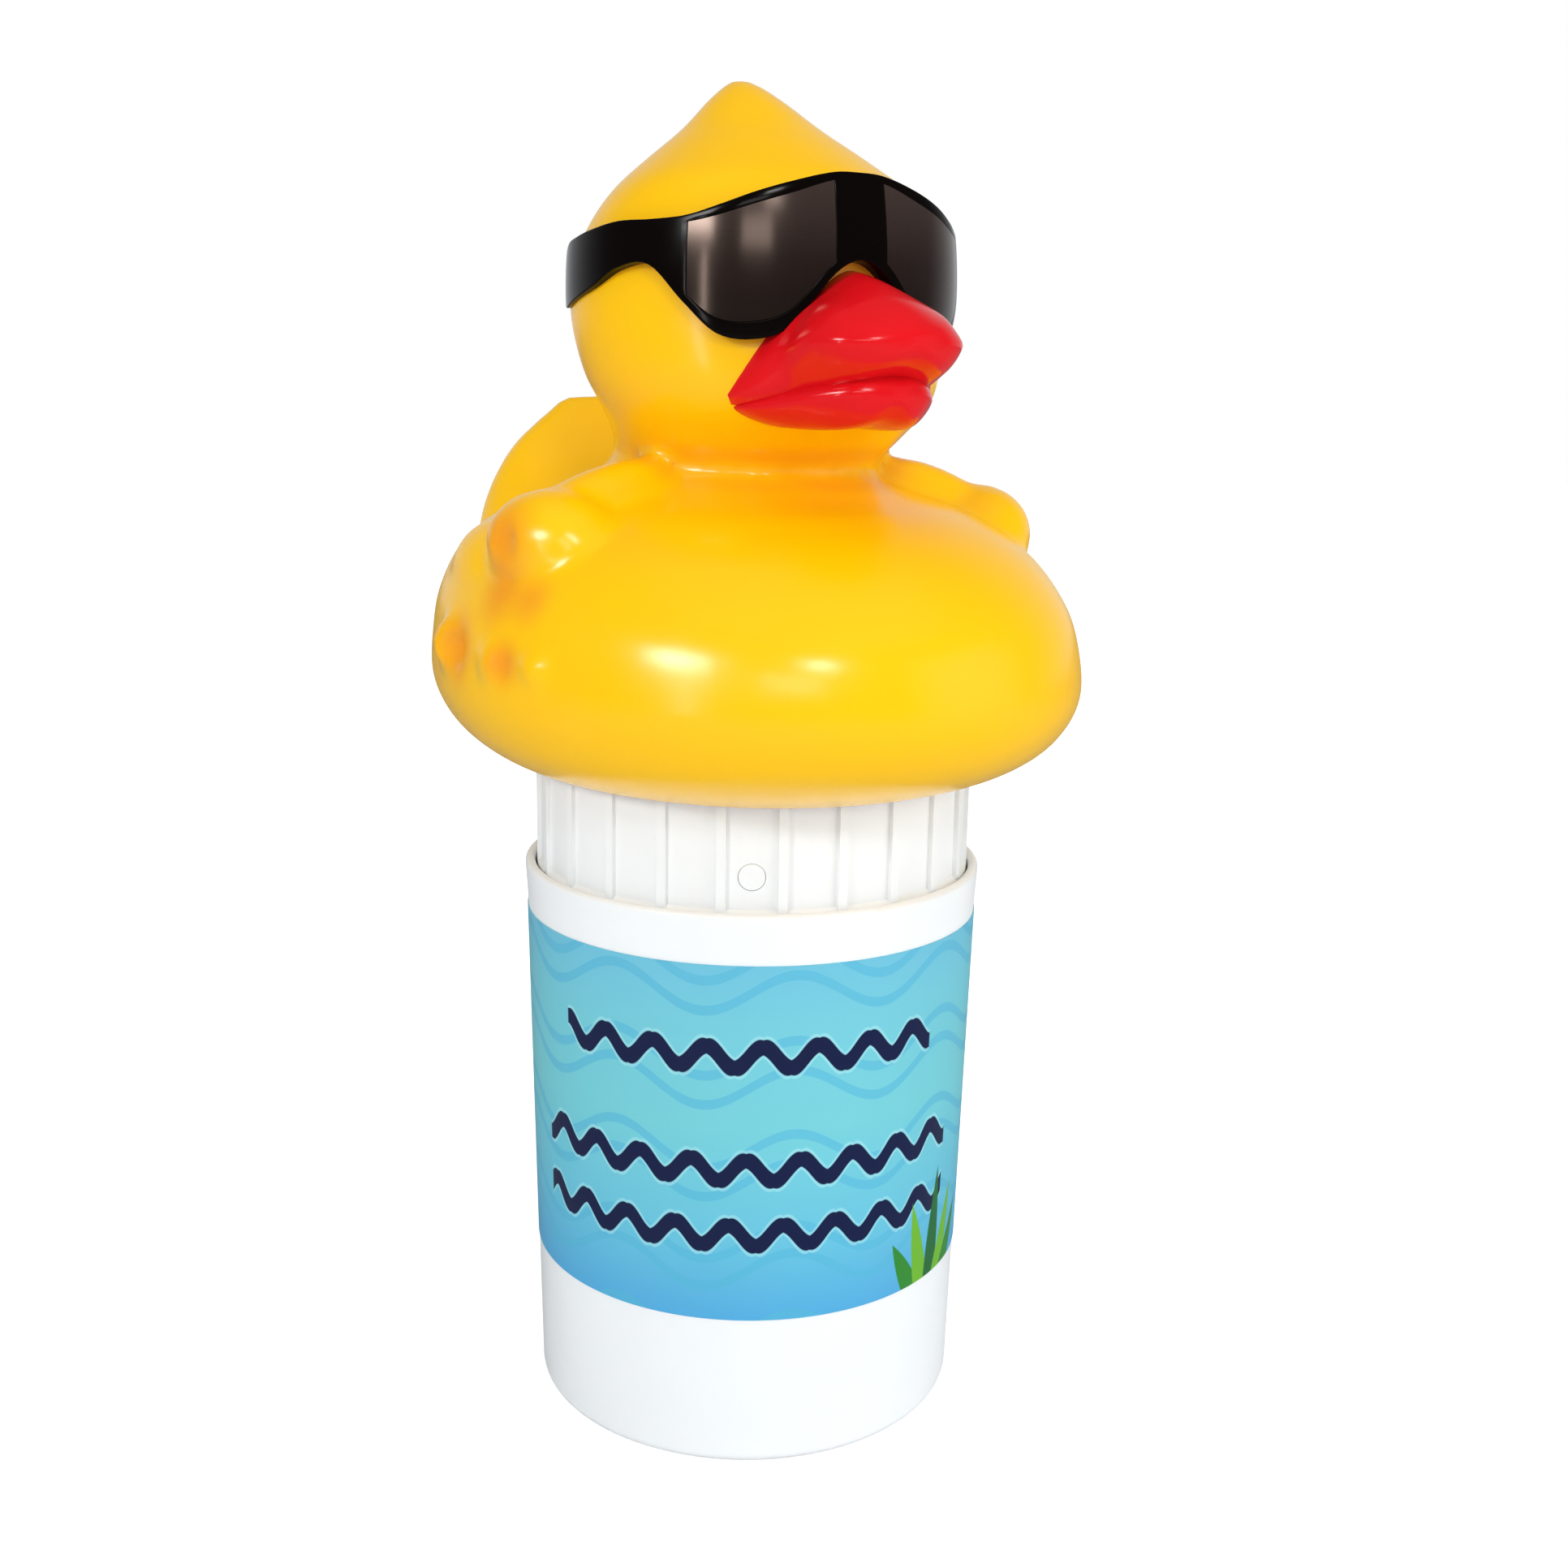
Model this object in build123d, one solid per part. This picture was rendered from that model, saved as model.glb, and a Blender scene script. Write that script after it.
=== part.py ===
from build123d import *
import math
import os

# Floating chlorine dispenser: a hollow toy duck floats on the water and carries a tablet
# canister that hangs below it. Millimetres, +Z up, the duck looks along -Y.
# The origin is the centre of the face that the canister stands on.

# ---------------------------------------------------------------- driving dimensions
# Canister
can_height = 139.0          # standing face to rim
can_radius = 56.5           # at the label's top edge
can_taper = 2.6             # how much narrower the standing face is
can_rim_bead = 0.6          # how much wider the rim is
can_wall = 2.4
can_floor = 2.6
base_recess = 6.0           # the floor sits this far above the standing face
foot_width = 6.4            # width of the standing ring
base_corner = 2.5
rim_corner = 1.1
label_bottom = 38.6
bare_top = 12.0             # bare wall between the label and the rim
label_thickness = 0.25
label_seam = 4.0            # bare strip behind, where the ends of the label meet
front_angle = 242.0         # lock button and label centre, 28 degrees from the bill

# Bayonet between canister and collar
ledge_depth = 18.0          # rim down to the top of the ledges
ledge_height = 3.3
ledge_reach = 3.7
ledge_span = 56.0
lug_span = 28.0
lug_height = 4.2
lug_reach = 2.5
bayonets = 3
ledge_start = 30.0          # first ledge, round from the lock button
stop_clearance = 1.5
stop_span = 3.0
twist_range = 60.0
stop_rib_height = 8.0
stop_rib_width = 2.0
stop_rib_reach = 1.3

# Collar
rib_count = 24
rib_height = 1.1
rib_width = 2.2
collar_wall = 2.2
collar_above_rim = 25.0
band_height = 5.0
band_above_rim = 0.2
skirt_wall = 1.7
lower_skirt_wall = 1.9
flange_thickness = 2.6
flange_width = 6.8

# Lock button
button_radius = 3.1
button_above_rim = 7.8
button_proud = 0.2          # face stands this far out of the panel
button_corner = 0.4
button_travel = 2.5
blade_thickness = 2.2
blade_width = 6.0
nose_height = 5.0
nose_width = 4.0
nose_lead = 1.5             # slope that the canister's rim pushes in
blade_margin = 1.1          # blade above the button's edge
guide_wall = 1.5
guide_height = 11.0
spring_thickness = 0.4
spring_room = 5.0

# Base plate and neck
plate_flange = 3.0
plate_skin = 2.5
plate_ribs = 8
plate_rib_width = 2.0
neck_radius = 16.0
neck_wall = 3.0
washer_thickness = 1.5
washer_width = 9.0
nut_height = 8.0
nut_radius = 24.0
nut_lobes = 8
nut_notch = 4.5
neck_beyond_nut = 1.6
plug_grip = 9.5
plug_head = 2.5
plug_wall = 2.4
plug_slot = 1.2             # depth of the coin slot, half its width
seal_thickness = 1.2

# Vent dial
dial_thickness = 2.2
dial_gap = 3.5              # dial's edge to the standing ring
dial_edge = 4.0             # solid edge outside the windows
vent_count = 6
vent_span = 24.0
vent_length = 16.0
vent_turn = 30.0
grip_height = 2.4
grip_width = 4.0
grip_share = 0.68           # of the dial's diameter
hub_wall = 2.2
screw_radius = 2.0
screw_head_radius = 5.0
screw_head_height = 1.6
screw_boss_radius = 6.0
screw_boss_height = 9.0
screw_end_gap = 1.0         # hole runs this far past the screw's end
screw_cover = 2.0           # boss left above the hole
screw_drive = (6.4, 1.0, 0.8)  # cross recess: length, width, depth
stop_peg_radius = 1.5
stop_peg_circle = 14.0
stop_peg_depth = 1.2        # into the dial's slot

# Duck
duck_height = 163.6         # lowest belly plane to the tip of the crest
drawn_height = 163.6        # height at which the duck's tables below are drawn
duck_wall = 3.0
duck_floor = 4.5            # above the collar's seat
seat_depth = 3.4            # collar seat, up from the lowest belly plane
bill_peg_radius = 6.0
bill_peg_length = 8.0       # into the head
bill_peg_root = 4.0         # out of the head, inside the bill
lens_thickness = 1.2
lens_recess = 0.2
lens_margin = 3.2           # frame left round a lens
pin_radius = 1.5
pin_length = 8.0
pin_overrun = 5.0           # pin holes are cut this far out of the head

# Clearances
run_gap = 0.4               # between pieces that turn or slide past each other
shaft_gap = 0.1             # running fit on a shaft
press_gap = 0.02            # pieces of one body that are pushed together
mouth_gap = 0.5             # collar in the canister's mouth
weld = 0.5                  # how far joined forms run into each other
cut = 1.0                   # how far cutters run past a face

# ---------------------------------------------------------------- derived places
can_base_radius = can_radius - can_taper
can_rim_radius = can_radius + can_rim_bead
label_top = can_height - bare_top
dial_radius = can_base_radius - foot_width - dial_gap
vent_outer = dial_radius - dial_edge
vent_inner = vent_outer - vent_length
vent_first = 180 / vent_count - vent_span / 2
grip_length = 2 * grip_share * dial_radius
mouth_radius = can_rim_radius - can_wall
collar_radius = mouth_radius - mouth_gap
panel_radius = collar_radius - rib_height
collar_inner = panel_radius - collar_wall
skirt_radius = collar_inner + skirt_wall
ledge_top = can_height - ledge_depth
ledge_bottom = ledge_top - ledge_height
ledge_inner = mouth_radius - ledge_reach
lower_skirt_radius = ledge_inner - mouth_gap
lower_skirt_inner = lower_skirt_radius - lower_skirt_wall
lug_top = ledge_bottom - run_gap
lug_bottom = lug_top - lug_height
lug_radius = lower_skirt_radius + lug_reach
skirt_bottom = ledge_top + run_gap
web_top = skirt_bottom + skirt_wall
band_top = can_height + band_above_rim
collar_top = can_height + collar_above_rim
seat_z = collar_top + run_gap
flange_bottom = collar_top - flange_thickness
flange_inner = collar_inner - flange_width
plate_hub_radius = flange_inner - run_gap
plate_top = flange_bottom - run_gap
plate_bottom = plate_top - plate_flange
plate_radius = collar_inner - 4 * run_gap
washer_bottom = plate_bottom - washer_thickness
nut_bottom = washer_bottom - nut_height
neck_bottom = nut_bottom - neck_beyond_nut
neck_bore = neck_radius - neck_wall
seal_bottom = neck_bottom - seal_thickness
plug_bottom = seal_bottom - plug_head
floor_top = base_recess + can_floor
dial_top = base_recess - run_gap
dial_bottom = dial_top - dial_thickness
screw_tip = floor_top + screw_boss_height - screw_cover - screw_end_gap
button_z = can_height + button_above_rim
blade_outer = collar_inner - 1.5 * run_gap
blade_inner = blade_outer - blade_thickness
blade_top = button_z + button_radius + blade_margin
blade_bottom = web_top + 3 * run_gap
nose_bottom = blade_bottom
nose_tip = mouth_radius - mouth_gap
guide_back = blade_inner - spring_room
duck_base = seat_z - seat_depth


def slope_radius(z):
    """Outer radius of the canister's tapered wall at height z."""
    return can_base_radius + can_taper * z / label_top


def ring(outer, inner, bottom, top):
    """Plain ring about the Z axis."""
    height = top - bottom
    body = Pos(0, 0, bottom) * Cylinder(outer, height, align=(Align.CENTER, Align.CENTER, Align.MIN))
    if inner > 0:
        body -= Pos(0, 0, bottom - cut) * Cylinder(
            inner, height + 2 * cut, align=(Align.CENTER, Align.CENTER, Align.MIN)
        )
    return body


def sector(outer, inner, bottom, top, start, span):
    """Part of a ring, from the angle start over span degrees."""
    profile = Plane.XZ * make_face(
        Polyline((inner, bottom), (outer, bottom), (outer, top), (inner, top), close=True)
    )
    return Rot(0, 0, start) * revolve(profile, Axis.Z, span)


def spun(points):
    """Solid of revolution from (radius, height) corners."""
    return revolve(Plane.XZ * make_face(Polyline(*points, close=True)), Axis.Z)


def block(x0, x1, y0, y1, z0, z1):
    """Box between two corners."""
    return Pos(x0, y0, z0) * Box(x1 - x0, y1 - y0, z1 - z0, align=(Align.MIN, Align.MIN, Align.MIN))


def rod_x(radius, x0, x1, z):
    """Round rod along X at height z."""
    start = Plane(origin=(x0, 0, z), x_dir=(0, 1, 0), z_dir=(1, 0, 0))
    return start * Cylinder(radius, x1 - x0, align=(Align.CENTER, Align.CENTER, Align.MIN))


# ---------------------------------------------------------------- canister
def make_canister():
    """Tapered cup with a recessed vented floor and bayonet ledges inside its mouth."""
    shell = spun([
        (can_base_radius - foot_width, 0),
        (can_base_radius, 0),
        (can_radius, label_top),
        (can_rim_radius, can_height - 2 * rim_corner),
        (can_rim_radius, can_height),
        (mouth_radius, can_height),
        (mouth_radius, ledge_bottom),
        (slope_radius(ledge_bottom) - can_wall, ledge_bottom - can_wall),
        (slope_radius(floor_top) - can_wall, floor_top),
        (0, floor_top),
        (0, base_recess),
        (can_base_radius - foot_width, base_recess),
    ])
    outer_base = shell.edges().filter_by(GeomType.CIRCLE).group_by(Axis.Z)[0].sort_by(SortBy.RADIUS)[-1]
    shell = fillet(outer_base, base_corner)
    rim_edges = shell.edges().filter_by(GeomType.CIRCLE).group_by(Axis.Z)[-1]
    shell = fillet(rim_edges, rim_corner)
    for step in range(bayonets):
        start = front_angle + ledge_start + step * 360 / bayonets
        shell += sector(mouth_radius + weld, ledge_inner, ledge_bottom, ledge_top, start, ledge_span)
        shell += sector(
            mouth_radius + weld, ledge_inner, lug_bottom, ledge_bottom,
            start + lug_span + stop_clearance, stop_span,
        )
    half_nose = math.degrees(math.atan2(nose_width / 2, nose_tip))
    rib_span = math.degrees(stop_rib_width / mouth_radius)
    for start in (-half_nose - stop_clearance - rib_span, twist_range + half_nose + stop_clearance):
        shell += sector(
            mouth_radius + weld, mouth_radius - stop_rib_reach, ledge_top, ledge_top + stop_rib_height,
            front_angle + start, rib_span,
        )
    shell += ring(screw_boss_radius, 0, floor_top, floor_top + screw_boss_height)
    shell += Pos(stop_peg_circle, 0, dial_top - stop_peg_depth) * Cylinder(
        stop_peg_radius, run_gap + stop_peg_depth, align=(Align.CENTER, Align.CENTER, Align.MIN)
    )
    for step in range(vent_count):
        start = vent_first + step * 360 / vent_count
        shell -= sector(vent_outer, vent_inner, base_recess - cut, floor_top + cut, start, vent_span)
    shell -= ring(screw_radius + press_gap, 0, base_recess - cut, screw_tip + screw_end_gap)
    return shell


def make_label():
    """Printed film wrapped round the canister's wall."""
    inner_low, inner_high = slope_radius(label_bottom), slope_radius(label_top)
    film = spun([
        (inner_low, label_bottom),
        (inner_low + label_thickness, label_bottom),
        (inner_high + label_thickness, label_top),
        (inner_high, label_top),
    ])
    seam = block(0, can_rim_radius * 2, -label_seam / 2, label_seam / 2, 0, can_height)
    return film - Rot(0, 0, front_angle + 180) * seam


# ---------------------------------------------------------------- vent dial
def make_vent_dial():
    """Turning disc with the same windows as the floor and a finger grip across it."""
    dial = ring(dial_radius, 0, dial_bottom, dial_top)
    for step in range(vent_count):
        start = vent_first + step * 360 / vent_count
        dial -= sector(vent_outer, vent_inner, dial_bottom - cut, dial_top + cut, start, vent_span)
    grip = block(
        -grip_length / 2, grip_length / 2, -grip_width / 2, grip_width / 2,
        dial_bottom - grip_height, dial_bottom,
    )
    hub = ring(screw_head_radius + hub_wall, 0, dial_bottom - grip_height, dial_bottom)
    dial += grip + hub
    dial += ring(screw_boss_radius, 0, dial_top, base_recess - shaft_gap)
    dial -= ring(screw_radius + shaft_gap, 0, dial_bottom - grip_height - cut, base_recess + cut)
    dial -= ring(
        screw_head_radius + run_gap, 0, dial_bottom - grip_height - cut,
        dial_bottom - grip_height + screw_head_height + 2 * shaft_gap,
    )
    slot_half = stop_peg_radius + run_gap
    slot_end = math.degrees(slot_half / stop_peg_circle)
    dial -= sector(
        stop_peg_circle + slot_half, stop_peg_circle - slot_half, dial_bottom - cut, dial_top + cut,
        -vent_turn - slot_end, vent_turn + 2 * slot_end,
    )
    return dial


def make_dial_screw():
    """Pan-head screw driven up into the boss on the floor."""
    head_bottom = dial_bottom - grip_height
    head = ring(screw_head_radius, 0, head_bottom, head_bottom + screw_head_height)
    head = fillet(head.edges().group_by(Axis.Z)[0], 0.4 * screw_head_height)
    shaft = ring(screw_radius, 0, head_bottom, screw_tip)
    length, width, depth = screw_drive
    arm = block(-length / 2, length / 2, -width / 2, width / 2, head_bottom - cut, head_bottom + depth)
    return head + shaft - arm - Rot(0, 0, 90) * arm


# ---------------------------------------------------------------- collar and lock
def make_collar():
    """Ribbed ring with a smooth band at the rim, a skirt with lugs and an inner flange."""
    band_bottom = band_top - band_height
    collar = spun([
        (lower_skirt_inner, web_top),
        (lower_skirt_inner, lug_bottom),
        (lower_skirt_radius, lug_bottom),
        (lower_skirt_radius, skirt_bottom),
        (skirt_radius, skirt_bottom),
        (skirt_radius, band_bottom - (collar_radius - skirt_radius)),
        (collar_radius, band_bottom),
        (collar_radius, band_top - rib_height),
        (panel_radius, band_top),
        (panel_radius, collar_top),
        (flange_inner, collar_top),
        (flange_inner, flange_bottom),
        (collar_inner, flange_bottom),
        (collar_inner, web_top),
    ])
    rib = block(
        panel_radius - weld, collar_radius, -rib_width / 2, rib_width / 2,
        band_top - rib_height, collar_top,
    )
    rib &= ring(collar_radius, 0, band_top - rib_height, collar_top)
    pitch = 360 / rib_count
    for step in range(rib_count):
        collar += Rot(0, 0, front_angle + pitch * (step + 0.5)) * rib
    lug_start = front_angle + ledge_start - twist_range
    for step in range(bayonets):
        collar += sector(
            lug_radius, lower_skirt_radius - weld, lug_bottom, lug_top,
            lug_start + step * 360 / bayonets, lug_span,
        )
    inside, outside = collar_inner - 2 * cut, collar_radius + cut
    hole = rod_x(button_radius + shaft_gap, inside, outside, button_z)
    window = block(
        inside, outside, -nose_width / 2 - run_gap, nose_width / 2 + run_gap,
        nose_bottom - run_gap, nose_bottom + nose_height + run_gap,
    )
    return collar - Rot(0, 0, front_angle) * (hole + window)


def make_lock_button():
    """Round button on a blade that carries the lock's nose down into the mouth."""
    cap = rod_x(button_radius, blade_outer - cut, panel_radius + button_proud, button_z)
    cap = fillet(cap.edges().sort_by(Axis.X)[-1], button_corner)
    blade = block(
        blade_inner, blade_outer, -blade_width / 2, blade_width / 2, blade_bottom, blade_top
    )
    nose = block(
        blade_outer - cut, nose_tip, -nose_width / 2, nose_width / 2,
        nose_bottom, nose_bottom + nose_height,
    )
    top_edge = nose.edges().filter_by(Axis.Y).sort_by(Axis.X)[-2:].sort_by(Axis.Z)[-1]
    nose = chamfer(top_edge, nose_lead)
    return Rot(0, 0, front_angle) * (cap + blade + nose)


def make_lock_guide():
    """Bracket fixed inside the collar: two cheeks beside the blade and a back for the spring."""
    cheek_inner = blade_width / 2 + run_gap
    cheek_outer = cheek_inner + guide_wall
    low, high = button_z - guide_height / 2, button_z + guide_height / 2
    guide = block(guide_back - guide_wall, collar_radius, -cheek_outer, cheek_outer, low, high)
    guide -= block(guide_back, collar_radius, -cheek_inner, cheek_inner, low - cut, high + cut)
    guide &= ring(collar_inner, 0, low - cut, high + cut)
    return Rot(0, 0, front_angle) * guide


def make_lock_spring():
    """Bowed leaf of spring strip between the guide's back and the blade."""
    bow = spring_room - 2 * shaft_gap
    half = guide_height / 2 - run_gap
    outer = ThreePointArc(
        (guide_back + shaft_gap, -half), (guide_back + shaft_gap + bow, 0),
        (guide_back + shaft_gap, half),
    )
    inner = ThreePointArc(
        (guide_back + shaft_gap, half - 2 * spring_thickness),
        (guide_back + shaft_gap + bow - spring_thickness, 0),
        (guide_back + shaft_gap, -half + 2 * spring_thickness),
    )
    face = make_face([outer, Line(outer @ 1, inner @ 0), inner, Line(inner @ 1, outer @ 0)])
    leaf = extrude(Plane.XZ * face, blade_width / 3, both=True)
    return Rot(0, 0, front_angle) * Pos(0, 0, button_z) * leaf


# ---------------------------------------------------------------- plate, nut and plug
def make_base_plate():
    """Disc clamped to the belly: its hub is the collar's bearing and its edge carries the flange."""
    plate = ring(plate_hub_radius, 0, plate_bottom, seat_z)
    plate += ring(plate_radius, 0, plate_bottom, plate_top)
    pocket = ring(
        plate_hub_radius - plate_skin, neck_radius + washer_width + run_gap,
        plate_bottom - cut, seat_z - plate_skin,
    )
    for step in range(plate_ribs):
        rib = block(0, plate_hub_radius, -plate_rib_width / 2, plate_rib_width / 2, 0, seat_z)
        pocket -= Rot(0, 0, step * 360 / plate_ribs) * rib
    plate -= pocket
    return plate - ring(neck_radius + shaft_gap, 0, plate_bottom - cut, seat_z + cut)


def make_neck_washer():
    """Soft washer between the plate and the nut."""
    return ring(neck_radius + washer_width, neck_radius + shaft_gap, washer_bottom, plate_bottom)


def make_neck_nut():
    """Lobed hand nut on the duck's neck."""
    nut = ring(nut_radius, neck_radius + press_gap, nut_bottom, washer_bottom)
    for step in range(nut_lobes):
        turn = (step + 0.5) * 360 / nut_lobes
        notch = Pos(nut_radius + nut_notch / 3, 0, nut_bottom - cut) * Cylinder(
            nut_notch, nut_height - cut, align=(Align.CENTER, Align.CENTER, Align.MIN)
        )
        nut -= Rot(0, 0, turn) * notch
    return nut


def make_air_plug():
    """Plug that closes the duck's neck."""
    shank = ring(neck_bore - press_gap, 0, seal_bottom, neck_bottom + plug_grip)
    shank = chamfer(shank.edges().group_by(Axis.Z)[-1], plug_slot)
    shank -= ring(neck_bore - plug_wall, 0, seal_bottom + plug_wall, neck_bottom + plug_grip + cut)
    head = ring(neck_radius, 0, plug_bottom, seal_bottom)
    slot = block(
        -neck_radius, neck_radius, -plug_slot, plug_slot, plug_bottom - cut, plug_bottom + plug_slot
    )
    return shank + head - slot


def make_plug_seal():
    """Flat ring under the plug's head."""
    return ring(neck_radius, neck_bore, seal_bottom, neck_bottom)


# ---------------------------------------------------------------- duck
size = duck_height / drawn_height

# Level sections of the duck from belly to crest: height above the lowest belly plane,
# backward shift, half length and half width.
duck_sections = [
    (0.0, 3.5, 48.0, 44.6),
    (3.4, 3.5, 62.5, 56.0),
    (7.9, 3.5, 74.6, 64.3),
    (14.2, 3.5, 84.0, 70.8),
    (23.0, 3.5, 89.8, 74.8),
    (33.0, 4.0, 90.0, 74.6),
    (44.0, 5.5, 87.0, 72.2),
    (56.5, 8.0, 77.0, 65.0),
    (66.0, 9.5, 61.5, 53.0),
    (72.0, 10.5, 44.0, 41.0),
    (77.5, 7.5, 36.6, 34.6),
    (83.0, 0.0, 37.4, 36.2),
    (89.0, -3.0, 40.8, 39.4),
    (96.0, -1.0, 43.4, 42.2),
    (109.0, 2.0, 44.6, 44.2),
    (120.0, 2.0, 43.9, 43.7),
    (129.0, 1.0, 40.8, 40.6),
    (137.5, 0.0, 35.2, 35.0),
    (145.0, 2.5, 26.2, 26.0),
    (152.0, 5.5, 17.0, 16.8),
    (158.5, 8.8, 10.0, 9.8),
    (163.6, 11.8, 3.4, 3.4),
]


def duck_loft(inset):
    """Smooth body, neck, head and crest through the level sections, drawn in by inset.

    Near the crest's point, where a section is no wider than the wall, less is drawn in.
    """
    sections = []
    for height, shift, half_length, half_width in duck_sections:
        centre = Pos(0, shift * size, duck_base + height * size)
        less = min(inset, 0.8 * half_width * size)
        sections.append(centre * Ellipse(half_width * size - less, half_length * size - less))
    return loft(sections)


def egg(centre, radii, turn):
    """Rounded lump: a ball stretched to three radii, turned, then placed above the belly plane."""
    x, y, z = (size * value for value in centre)
    stretched = scale(Sphere(1), by=tuple(size * value for value in radii))
    return Pos(x, y, duck_base + z) * Rot(*turn) * stretched


def make_tail():
    """Broad upturned tail: back, up, half width, half thickness, tilt from level."""
    stations = [
        (56, 38, 50, 34, 70),
        (74, 57, 45, 22, 45),
        (84, 75, 34, 13, 25),
        (88, 90, 17, 6, 12),
    ]
    sections = []
    for back, up, half_width, half_thickness, tilt in stations:
        lean = math.radians(tilt)
        plane = Plane(
            origin=(0, back * size, duck_base + up * size), x_dir=(1, 0, 0),
            z_dir=(0, math.sin(lean), math.cos(lean)),
        )
        sections.append(plane * Ellipse(half_width * size, half_thickness * size))
    return loft(sections)


def make_wing():
    """Right wing: shoulder ridge, upper lobe, the swell behind it and two finger lobes."""
    wing = egg((-46, -8, 67.5), (21, 8, 7), (0, -20, 0))
    wing += egg((-57.5, -11, 58), (13.5, 17, 12.5), (0, 0, 23))
    wing += egg((-57.5, 12, 48), (14, 26, 15), (0, 0, 0))
    wing += egg((-67, -14, 32), (9.5, 10.5, 7.5), (0, 0, 15))
    wing += egg((-70, 10, 33.5), (9, 9, 8), (0, 0, 0))
    return wing


def make_duck_outer():
    """Outer form of the duck, without bill and glasses."""
    duck = duck_loft(0)
    wing = make_wing()
    return duck + make_tail() + wing + mirror(wing, Plane.YZ)


bill_peg_height = 103.0 * size
head_front = 42.8 * size
pin_height = 119.0 * size
pin_angle = 97.0


def bill_peg(radius):
    """Peg of the bill through the face."""
    start = Plane(
        origin=(0, bill_peg_length - head_front, duck_base + bill_peg_height),
        x_dir=(1, 0, 0), z_dir=(0, -1, 0),
    )
    return start * Cylinder(
        radius, bill_peg_length + bill_peg_root, align=(Align.CENTER, Align.CENTER, Align.MIN)
    )


def temple_pin(side, radius, extra):
    """Pin through a temple into the side of the head, longer outwards by extra."""
    outer = temple_radius * size
    pin = rod_x(radius, outer - pin_length, outer + extra, duck_base + pin_height)
    return Rot(0, 0, -90 + side * pin_angle) * pin


def make_duck_shell():
    """Hollow duck with the collar's seat, the threaded neck and holes for bill and pins."""
    shell = make_duck_outer()
    hollow_floor = seat_z + duck_floor
    hollow_top = duck_base + duck_height - 4 * duck_wall
    hollow = duck_loft(duck_wall)
    hollow &= ring(duck_height, 0, hollow_floor, hollow_top)
    shell -= ring(collar_radius + 2 * run_gap, 0, duck_base - cut, seat_z)
    shell += ring(neck_radius, 0, neck_bottom, seat_z + weld)
    shell -= hollow
    shell -= ring(neck_bore, 0, neck_bottom - cut, hollow_floor + cut)
    shell -= bill_peg(bill_peg_radius + press_gap)
    for side in (-1, 1):
        shell -= temple_pin(side, pin_radius + press_gap, pin_overrun)
    return shell


# ---------------------------------------------------------------- bill
# Stations forward from the head's axis: forward, height of the ridge, then half width and
# height of the shoulder, of the widest line and of the lip, all above the belly plane.
upper_bill = [
    (28, 119.6, 10.5, 112.8, 26.0, 92.0, 24.4, 89.0),
    (36, 119.2, 10.5, 112.6, 25.2, 92.2, 23.4, 89.4),
    (41, 118.6, 10.2, 112.3, 22.2, 95.6, 20.0, 90.2),
    (46, 117.6, 10.4, 111.9, 19.2, 99.4, 15.2, 91.4),
    (52, 115.8, 11.2, 111.3, 18.7, 101.6, 13.2, 93.2),
    (58, 113.2, 11.8, 109.8, 17.8, 102.2, 11.8, 95.2),
    (63, 110.6, 10.4, 107.8, 15.4, 102.4, 10.2, 96.8),
    (67, 107.6, 7.2, 106.0, 10.4, 102.6, 7.2, 98.6),
    (69.3, 105.4, 3.6, 104.6, 5.2, 102.9, 3.8, 100.6),
]
lower_bill = [
    (28, 91.0, 12.0, 91.0, 24.4, 88.8, 15.0, 85.2),
    (38, 91.0, 12.0, 91.0, 23.2, 88.8, 15.0, 84.8),
    (46, 91.4, 12.0, 91.4, 18.8, 89.2, 12.0, 84.8),
    (53, 92.0, 9.0, 92.0, 14.6, 90.0, 9.6, 85.4),
    (59, 92.6, 5.6, 92.6, 9.6, 91.0, 6.0, 87.2),
    (62, 92.8, 2.8, 92.7, 4.8, 91.6, 3.0, 89.4),
]
bill_fullness = 0.1         # how far the flanks bulge between shoulder and widest line


def bill_loft(stations):
    """Half of the bill: a smooth loft through closed upright sections."""
    sections = []
    for forward, ridge, shoulder, shoulder_up, wide, wide_up, lip, lip_up in stations:
        flank = (shoulder + wide) / 2 + bill_fullness * (wide - shoulder)
        flank_up = (shoulder_up + wide_up) / 2 + bill_fullness * (shoulder_up - wide_up)
        right = [(shoulder, shoulder_up), (flank, flank_up), (wide, wide_up), (lip, lip_up)]
        left = [(-across, up) for across, up in reversed(right)]
        outline = [(0, ridge)] + right + [(0, lip_up)] + left
        plane = Plane(origin=(0, -forward * size, duck_base), x_dir=(1, 0, 0), z_dir=(0, -1, 0))
        curve = Spline(*[(across * size, up * size) for across, up in outline], periodic=True)
        sections.append(plane * make_face(curve))
    return loft(sections)


def make_bill(head):
    """Upper and lower bill in one moulding, shaped to the face, with its peg."""
    bill = bill_loft(upper_bill) + bill_loft(lower_bill) - head
    return bill + bill_peg(bill_peg_radius)


# ---------------------------------------------------------------- sunglasses
# Angle from the bill, upper edge, lower edge and outer radius, above the belly plane.
glasses_edges = [
    (0, 138.6, 120.3, 46.4),
    (8, 138.3, 117.2, 46.6),
    (20, 136.0, 106.0, 47.0),
    (30, 133.6, 103.2, 47.2),
    (40, 130.8, 104.4, 47.0),
    (49, 128.8, 110.6, 46.6),
    (60, 128.2, 118.6, 46.2),
    (72, 128.2, 118.2, 45.9),
    (84, 127.2, 114.6, 45.6),
    (97, 126.0, 112.2, 45.6),
    (110, 124.6, 110.6, 46.0),
    (122, 119.5, 111.5, 46.6),
]
lens_start, lens_end = 8, 49    # a lens spans the edge stations between these angles
glasses_depth = 16.0            # trimmed to the head and the bill
temple_radius = 45.4            # outer face of a temple at its pin
glasses_barrel = 1.8        # how much the face draws in 20 mm above and below its middle
glasses_middle = 115.0


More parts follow.
